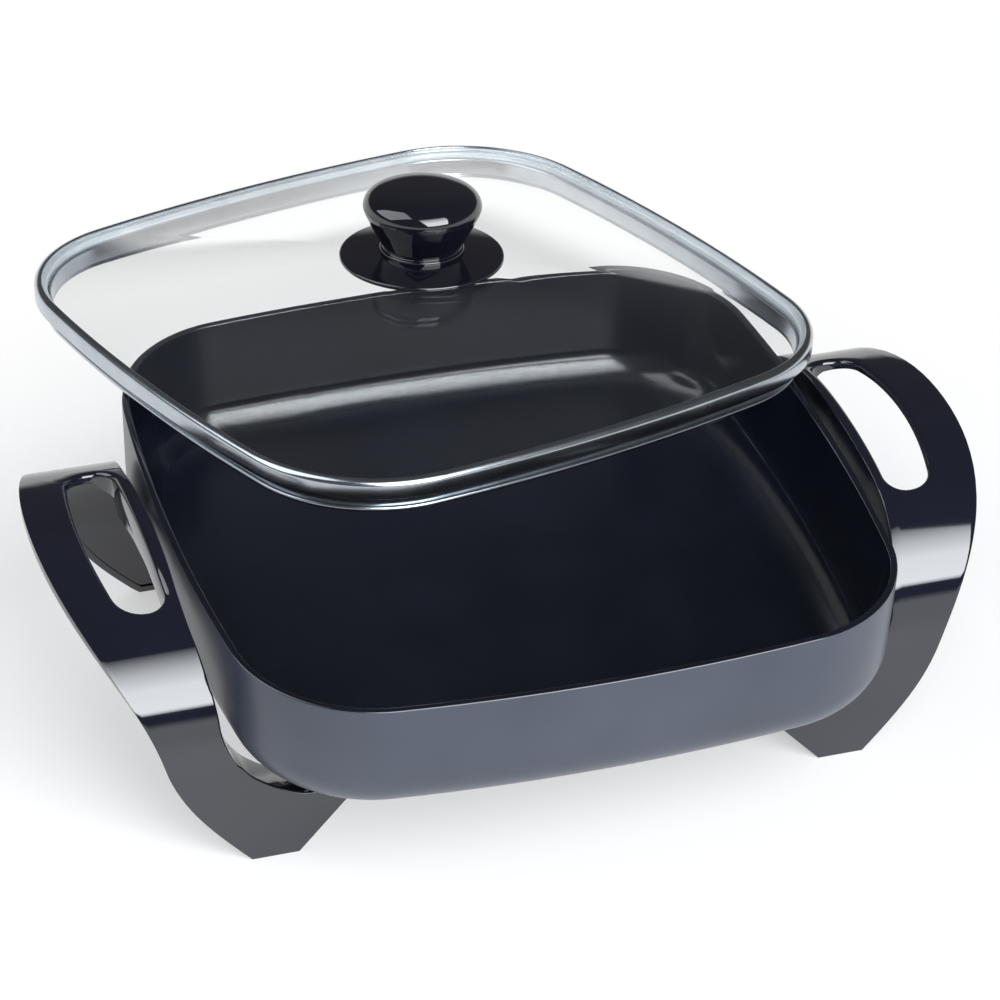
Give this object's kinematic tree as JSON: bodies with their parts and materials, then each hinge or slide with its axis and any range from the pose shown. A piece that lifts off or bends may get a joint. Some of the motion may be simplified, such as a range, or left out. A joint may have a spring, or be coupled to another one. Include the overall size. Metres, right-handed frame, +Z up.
{
  "type": "electric skillet",
  "caption": "Square electric skillet with a dark non-stick pan, two black handle legs and a loose domed glass lid resting askew across its rim.",
  "frame": {"origin": "on the table, at the centre between the four feet", "axes": "+Z up, +X to the right handle with the probe inlet under it, +Y to the back, where the lid hangs over"},
  "size_m": [0.4414, 0.4661, 0.1851],
  "materials": {
    "pan_coating": "satin",
    "handle_plastic": "gloss",
    "knob_plastic": "gloss",
    "rim_steel": "polished",
    "lid_glass": "gloss",
    "seal_rubber": "matte",
    "element_steel": "satin",
    "bright_steel": "satin",
    "insulator_ceramic": "matte",
    "insert_brass": "satin"
  },
  "bodies": {
    "base": {"pan": "pan_coating", "heating_element": "element_steel", "terminal_pins": "bright_steel", "pin_insulators": "insulator_ceramic", "sensor_sleeve": "bright_steel", "probe_guard": "handle_plastic", "guard_screws": "bright_steel", "right_handle": "handle_plastic", "left_handle": "handle_plastic", "right_handle_screws": "bright_steel", "left_handle_screws": "bright_steel", "right_handle_washers": "bright_steel", "left_handle_washers": "bright_steel"},
    "lid": {"lid_rim": "rim_steel", "lid_glass": "lid_glass", "lid_gasket": "seal_rubber", "knob_skirt": "knob_plastic", "knob": "knob_plastic", "knob_insert": "insert_brass", "knob_seals": "seal_rubber", "knob_washer": "bright_steel", "knob_screw": "bright_steel"}
  },
  "joints": [
    {"name": "lid_lift", "type": "slide", "parent": "base", "child": "lid", "axis": [0, 0, 1], "range_m": [0, 0.15]}
  ]
}
